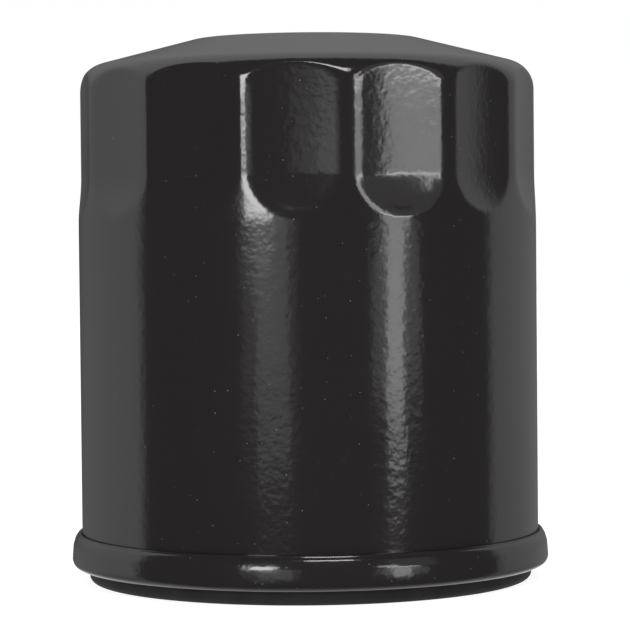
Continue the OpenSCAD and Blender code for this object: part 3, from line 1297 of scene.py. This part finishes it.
@dataclass
class FilterElement:
    """The pleated paper between its end caps, on the perforated centre tube."""

    pleats: int = 44
    paper: float = 0.5
    inner_r: float = 13.25
    outer_r: float = 28.3
    low_z: float = 18.5
    high_z: float = 63.5
    wave: float = 0.07
    outer_fold: Pair = (0.5, 0.56)
    inner_fold: Pair = (0.45, 0.43)

    def leg(self, share: float) -> Pair:
        """Places a point on a pleat's side.

        Args:
            share: How far down the side it is, from 0 at the outer fold to 1 at the inner one.

        Returns:
            Its radius, and its distance from the line through the outer fold's middle.
        """
        (outer_depth, outer_half), (inner_depth, inner_half) = self.outer_fold, self.inner_fold
        top_r, low_r = self.outer_r - outer_depth, self.inner_r + inner_depth
        low_side = self.inner_r * math.pi / self.pleats - inner_half
        return top_r + (low_r - top_r) * share, outer_half + (low_side - outer_half) * share

    def pleat(self) -> Profile:
        """Draws one pleat's middle line, from outer fold to outer fold.

        Returns:
            The line's points, each a radius and an angle in radians.
        """
        half = math.pi / self.pleats
        points: Profile = []
        for k in range(-3, 4):
            turn = k / 3 * math.pi / 2
            r = self.outer_r - self.outer_fold[0] * (1 - math.cos(turn))
            points.append((r, self.outer_fold[1] * math.sin(turn) / self.outer_r))
        for r, side in map(self.leg, (0.2, 0.4, 0.6, 0.8)):
            points.append((r, side / r))
        for k in range(-3, 3):
            turn = k / 3 * math.pi / 2
            r = self.inner_r + self.inner_fold[0] * (1 - math.cos(turn))
            points.append((r, half + self.inner_fold[1] * math.sin(turn) / r))
        for r, side in map(self.leg, (1.0, 0.8, 0.6, 0.4, 0.2)):
            points.append((r, 2 * half - side / r))
        return points

    def build(self, finishes: Finishes) -> None:
        """Folds the paper and raises it between the caps.

        Args:
            finishes: The filter's materials.
        """
        bm = bmesh.new()
        line = self.pleat()
        places = [(r * math.cos(a), r * math.sin(a), self.low_z) for r, a in line]
        first = [bm.verts.new(Vector(place) * MM) for place in places]
        edges = [bm.edges.new(pair) for pair in zip(first, first[1:])]
        turned(bm, first + edges, math.tau, self.pleats, use_duplicate=True)
        bmesh.ops.remove_doubles(bm, verts=bm.verts, dist=3e-5)
        rows = 9
        rise = (self.high_z - self.low_z) / rows
        edge_row = list(bm.edges)
        for _ in range(rows):
            edge_row = drawn(bm, edge_row, Vector((0, 0, rise * MM)))
        bmesh.ops.recalc_face_normals(bm, faces=bm.faces)
        reshape(bm, self.wavy)
        Solid.place(
            "paper_pleats", bm, finishes.paper, "filter_paper", ["pleated_media"], wall=self.paper, crisp=60
        )

    def wavy(self, r: float, z: float, angle: float) -> tuple[float, float, float]:
        """Lets each fold wander slightly between the caps, where nothing holds it.

        Args:
            r: Radius before the change.
            z: Height before it.
            angle: Angle from the front.

        Returns:
            The radius, height and angle after it.
        """
        free = math.sin(math.pi * (z - self.low_z) / (self.high_z - self.low_z))
        sway = self.wave * free * math.sin(z / 5.5 + 1.7 * math.sin(3.1 * angle))
        return r, z, angle + math.degrees(sway / max(r, 1.0))


@dataclass
class BypassValve:
    """The relief valve in the element's upper cap. Its coil is wound here; the rest is the frame's."""

    coil_r: float = 4.6
    wire_r: float = 0.45
    foot_z: float = 56.0
    top_z: float = 63.7
    turns: float = 5.0

    def build(self, finishes: Finishes) -> None:
        """Winds the coil between its cage and the poppet.

        Args:
            finishes: The filter's materials.
        """
        bm = bmesh.new()
        per_turn = 40
        start = Matrix.Translation(Vector((self.coil_r, 0, self.foot_z)) * MM)
        made = bmesh.ops.create_circle(
            bm, cap_ends=True, segments=14, radius=self.wire_r * MM,
            matrix=start @ Matrix.Rotation(math.pi / 2, 4, "X"),
        )
        steps = round(self.turns * per_turn)
        rise = (0, 0, (self.top_z - self.foot_z) / steps * MM)
        turned(bm, [*bm.faces, *bm.edges, *made["verts"]], math.tau * self.turns, steps, dvec=rise)
        tidy(bm)
        coil = Solid.place(
            "relief_coil", bm, finishes.spring, "spring_steel", ["bypass_spring"], body=None, crisp=60
        )
        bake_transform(coil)


@dataclass
class ElementSpring:
    """The cross of spring strip between the element's upper cap and the crown."""

    strip: float = 0.6
    width: float = 9.0
    crown_half: float = 7.5
    bend_r: float = 14.5
    foot_r: float = 22.5
    tip_r: float = 26.0
    foot_z: float = 66.3
    crown_z: float = 78.25
    tip_z: float = 67.8
    tip_corner: float = 1.5

    def arm(self) -> Profile:
        """Draws one arm's middle line, from the edge of the cross's square to the turned-up tip.

        Returns:
            The line's points.
        """
        return open_path(
            [
                Corner(self.width / 2, self.crown_z),
                Corner(self.crown_half, self.crown_z, 5.0),
                Corner(self.bend_r, self.foot_z, 12.0),
                Corner(self.foot_r, self.foot_z, 4.0),
                Corner(self.tip_r, self.tip_z),
            ],
            12,
        )

    def build(self, finishes: Finishes) -> None:
        """Draws the four arms out of the middle square and gives the strip its thickness.

        Args:
            finishes: The filter's materials.
        """
        bm = bmesh.new()
        lift = Matrix.Translation((0, 0, self.crown_z * MM))
        bmesh.ops.create_grid(bm, x_segments=2, y_segments=2, size=self.width / 2 * MM, matrix=lift)
        rim = [edge for edge in bm.edges if edge.is_boundary]
        for quarter in range(4):
            outward = Matrix.Rotation(quarter * math.pi / 2, 3, "Z") @ Vector((1, 0, 0))
            near = (self.width / 2 - 0.01) * MM
            edges = [edge for edge in rim if all(vert.co.dot(outward) > near for vert in edge.verts)]
            line = self.arm()
            for (r0, z0), (r1, z1) in zip(line, line[1:]):
                edges = drawn(bm, edges, outward * (r1 - r0) * MM + Vector((0, 0, (z1 - z0) * MM)))
        tips = [vert for vert in bm.verts if vert.co.z < self.crown_z * MM and len(vert.link_edges) == 2]
        bmesh.ops.bevel(
            bm, geom=tips, offset=self.tip_corner * MM, offset_type="OFFSET", segments=5, profile=0.5,
            affect="VERTICES", material=-1,
        )
        tidy(bm, 1e-6)
        Solid.place(
            "element_leaf_spring", bm, finishes.spring, "spring_steel", ["element_spring"],
            wall=self.strip, crisp=50,
        )


@dataclass
class Internals:
    """The frame's own solids that show as they are, each with its finish."""

    dressed: dict[str, str] = field(
        default_factory=lambda: {
            "seam_sealant": "compound",
            "lower_end_cap": "tinned",
            "lower_adhesive": "plastisol",
            "media_clip": "tinned",
            "centre_tube": "tinned",
            "upper_adhesive": "plastisol",
            "upper_end_cap": "tinned",
            "bypass_seat": "valve",
            "bypass_cage": "valve",
            "bypass_poppet": "valve",
            "bypass_seal": "seal",
        }
    )

    def build(self, nodes: dict[str, bpy.types.Object], finishes: Finishes) -> None:
        """Dresses each node.

        Args:
            nodes: The frame's nodes by name.
            finishes: The filter's materials.
        """
        for name, finish in self.dressed.items():
            Solid.dress(nodes[name], getattr(finishes, finish))


# ---------------------------------------------------------------- the studio


@dataclass(frozen=True)
class Lamp:
    """A panel of light, as seen from the filter."""

    name: str
    across: Pair
    up: Pair
    radiance: float

    def hang(self, reach: float, height: float) -> None:
        """Hangs the panel, facing the filter.

        The panel's sides are azimuths in degrees from the front towards +X, and its edges are
        elevations.

        Args:
            reach: Distance from the filter's axis, in metres.
            height: Height of the point that the elevations are measured from, in metres.
        """
        azimuth, elevation = (math.radians(sum(pair) / 2) for pair in (self.across, self.up))
        width, tall = (2 * reach * math.tan(math.radians(b - a) / 2) for a, b in (self.across, self.up))
        data = bpy.data.lights.new(self.name, "AREA")
        data.shape = "RECTANGLE"
        data.size, data.size_y = width, tall
        data.energy = self.radiance * math.pi * width * tall
        lamp = linked(self.name, data)
        lamp.matrix_world = (
            Matrix.Translation((0, 0, height))
            @ Matrix.Rotation(azimuth, 4, "Z")
            @ Matrix.Rotation(-elevation, 4, "X")
            @ Matrix.Translation((0, -reach, 0))
            @ Matrix.Rotation(math.pi / 2, 4, "X")
        )


@dataclass
class Studio:
    """Pale floor, white backdrop, a strip light, a broad one on the left, and the camera."""

    eye: tuple[float, float, float] = (0.986, -411.9, 52.29)
    pitch: float = 0.0333
    roll: float = -0.0096
    lens: float = 160.08
    reach: float = 1.2
    lamp_z: float = 0.05
    lamps: tuple[Lamp, ...] = (
        Lamp("strip_halo", (31.0, 56.0), (-4.5, 0.4), 0.8),
        Lamp("strip_lower", (38.5, 47.5), (-6.2, 0.4), 3.4),
        Lamp("strip_middle", (36.0, 51.0), (0.4, 3.8), 3.6),
        Lamp("strip_upper", (36.0, 51.0), (4.5, 7.2), 11.0),
        Lamp("strip_rim", (33.5, 42.0), (7.2, 20.0), 5.0),
        Lamp("strip_haze", (40.0, 62.0), (7.2, 30.0), 0.35),
        Lamp("left_halo", (-32.0, -5.0), (-5.5, 3.5), 0.25),
        Lamp("left_spill", (-25.0, -9.0), (-6.5, 1.0), 0.7),
        Lamp("left_glow", (-18.0, -10.0), (0.9, 4.5), 0.6),
        Lamp("left_wide_glow", (-19.0, -5.0), (0.6, 4.5), 0.35),
        Lamp("left_sill", (-30.0, -17.0), (1.4, 3.6), 6.5),
        Lamp("left_panel", (-30.0, -17.0), (3.6, 24.0), 13.0),
        Lamp("overhead", (0.0, 21.0), (36.0, 48.0), 12.0),
    )
    mirror_in: float = 0.033
    mirror_out: float = 0.037
    behind: tuple[float, float, float] = (-0.1, 0.995, 0.0)
    front_glow: float = 0.1
    soft_glow: float = 0.75
    floor_glow: float = 0.88

    def camera(self) -> None:
        """Stands the camera in front, at half the filter's height."""
        data = bpy.data.cameras.new("studio_camera")
        data.lens = self.lens
        data.sensor_width = 36.0
        data.clip_start = 0.01
        data.clip_end = 20.0
        camera = linked("studio_camera", data)
        camera.matrix_world = (
            Matrix.Translation(Vector(self.eye) * MM)
            @ Matrix.Rotation(math.pi / 2 - self.pitch, 4, "X")
            @ Matrix.Rotation(self.roll, 4, "Z")
        )
        bpy.context.scene.camera = camera

    def floor(self) -> None:
        """Lays a pale round floor that stops mirroring in the paint a hand's width away."""
        bm = bmesh.new()
        bmesh.ops.create_circle(bm, cap_ends=True, segments=96, radius=1.6)
        mesh = meshed("studio_floor", bm)
        floor = linked("studio_floor", mesh)
        floor.location.z = -0.00003
        mix = Recipe("studio_floor")
        mix.feed(Base_Color=(0.3, 0.3, 0.3), Roughness=0.9)
        mix.feed(Emission_Color=(1.0, 1.0, 1.0), Emission_Strength=self.floor_glow)
        away = mix.add("VectorMath", operation="LENGTH", Vector=mix.place).outputs["Value"]
        far = mix.spread(away, start=self.mirror_in, stop=self.mirror_out, smooth=True)
        unseen = mix.math("MULTIPLY", far, mix.add("LightPath").outputs["Is Glossy Ray"])
        gone = mix.math("MAXIMUM", unseen, mix.add("NewGeometry").outputs["Backfacing"])
        choice = mix.add("MixShader", Fac=gone)
        mix.join(mix.shader.outputs["BSDF"], choice.inputs[1])
        mix.join(mix.add("BsdfTransparent").outputs["BSDF"], choice.inputs[2])
        mix.join(choice.outputs["Shader"], mix.tree.nodes["Material Output"].inputs["Surface"])
        mesh.materials.append(mix.material)

    def backdrop(self) -> None:
        """Makes the surroundings: white behind the filter, dim in front of it."""
        world = bpy.data.worlds.new("studio")
        bpy.context.scene.world = world
        world.use_nodes = True
        graph = Graph(world.node_tree)
        aim = graph.add("TexCoord").outputs["Generated"]
        turn = graph.add("VectorMath", operation="DOT_PRODUCT", Vector=aim)
        turn.inputs[1].default_value = self.behind
        along = turn.outputs["Value"]
        across, _, upright = graph.add("SeparateXYZ", Vector=aim).outputs
        ceiling = graph.math("MULTIPLY_ADD", graph.math("ABSOLUTE", upright), 0.38, 0.04)
        sides = graph.math("POWER", graph.math("SUBTRACT", 1.0, along, clamp=True), 0.7)
        glow = graph.math("MULTIPLY_ADD", sides, 0.95, ceiling)
        for share in (graph.spread(across, 1.0, 0.74), graph.spread(upright, 0.45, 1.0, -0.5, -0.05)):
            glow = graph.math("MULTIPLY", glow, share)
        glow = graph.spread(along, self.front_glow, glow, 0.035, 0.185, smooth=True)
        rays = graph.add("LightPath").outputs
        glow = graph.mixed(rays["Is Diffuse Ray"], glow, self.soft_glow, colours=False)
        glow = graph.mixed(rays["Is Camera Ray"], glow, 1.0, colours=False)
        graph.join(glow, graph.tree.nodes["Background"].inputs["Color"])

    def build(self) -> None:
        """Sets up the whole studio."""
        self.camera()
        self.floor()
        self.backdrop()
        for lamp in self.lamps:
            lamp.hang(self.reach, self.lamp_z)
        bpy.context.scene.view_settings.view_transform = "Standard"


def main() -> None:
    """Builds the studio and every sub-assembly."""
    logging.basicConfig(level=logging.INFO, format="%(message)s")
    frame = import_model()
    Studio().build()
    finishes = Finishes.build()
    assemblies = (
        Canister(), SeamCover(), Gasket(), BasePlate(), DrainbackValve(), FilterElement(), BypassValve(),
        ElementSpring(),
    )
    for assembly in assemblies:
        assembly.build(finishes)
    Internals().build(frame["nodes"], finishes)


if __name__ == "__main__":
    main()
